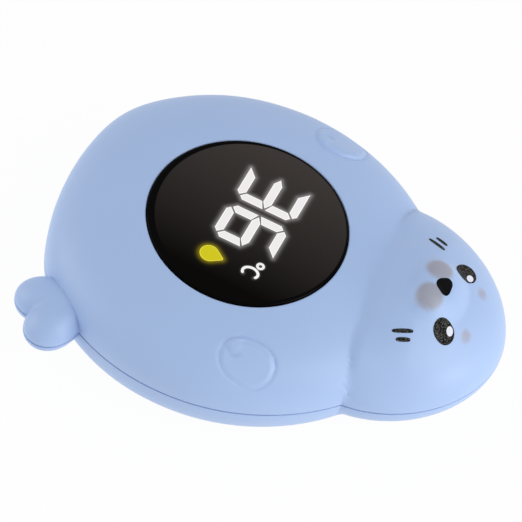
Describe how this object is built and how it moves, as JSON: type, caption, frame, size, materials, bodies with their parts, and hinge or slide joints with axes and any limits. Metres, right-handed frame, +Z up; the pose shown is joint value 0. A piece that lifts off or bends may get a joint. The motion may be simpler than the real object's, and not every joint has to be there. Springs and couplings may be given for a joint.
{
  "type": "bath thermometer",
  "caption": "A bath thermometer shaped like a seal on its back: two pale blue shells, a round black display window, battery door below",
  "frame": {"origin": "on the flat of the battery door that the part lies on, straight below the centre of the display window", "axes": "X to the reader's right, Y towards the head, Z up through the display window"},
  "size_m": [0.0815, 0.1022, 0.0302],
  "materials": {
    "shell_blue": "satin",
    "window_black": "polished",
    "moulded_black": "matte",
    "diffuser_white": "satin",
    "diffuser_yellow": "satin",
    "board_green": "satin",
    "steel": "satin",
    "plated_steel": "satin",
    "silicone_grey": "matte",
    "cell_wrap": "satin",
    "epoxy_black": "satin",
    "wire_red": "satin",
    "wire_black": "satin",
    "wire_white": "satin"
  },
  "bodies": {
    "root": {"battery_box": "moulded_black", "battery_cell_1": "cell_wrap", "battery_cell_2": "cell_wrap", "battery_door": "shell_blue", "battery_lead_minus": "wire_black", "battery_lead_plus": "wire_red", "battery_seal": "silicone_grey", "battery_spring_1": "plated_steel", "battery_spring_2": "plated_steel", "board_screw_1": "steel", "board_screw_2": "steel", "board_screw_3": "steel", "board_screw_4": "steel", "celsius_sign": "diffuser_white", "circuit_board": "board_green", "contact_lead_1": "wire_white", "contact_lead_2": "wire_white", "contact_link": "plated_steel", "contact_minus": "plated_steel", "contact_plus": "plated_steel", "controller_chip": "moulded_black", "degree_ring": "diffuser_white", "display_block": "moulded_black", "display_window": "window_black", "door_screw": "steel", "drop_light": "diffuser_yellow", "lower_shell": "shell_blue", "parting_seal": "silicone_grey", "sensor_cup": "steel", "sensor_lead_1": "wire_white", "sensor_lead_2": "wire_white", "sensor_seal": "silicone_grey", "shell_screw_1": "steel", "shell_screw_2": "steel", "shell_screw_3": "steel", "shell_screw_4": "steel", "tens_bar_a": "diffuser_white", "tens_bar_b": "diffuser_white", "tens_bar_c": "diffuser_white", "tens_bar_d": "diffuser_white", "tens_bar_e": "diffuser_white", "tens_bar_f": "diffuser_white", "tens_bar_g": "diffuser_white", "thermistor": "epoxy_black", "units_bar_a": "diffuser_white", "units_bar_b": "diffuser_white", "units_bar_c": "diffuser_white", "units_bar_d": "diffuser_white", "units_bar_e": "diffuser_white", "units_bar_f": "diffuser_white", "units_bar_g": "diffuser_white", "upper_shell": "shell_blue", "water_contact_1": "steel", "water_contact_2": "steel", "window_gasket": "silicone_grey"}
  },
  "joints": []
}
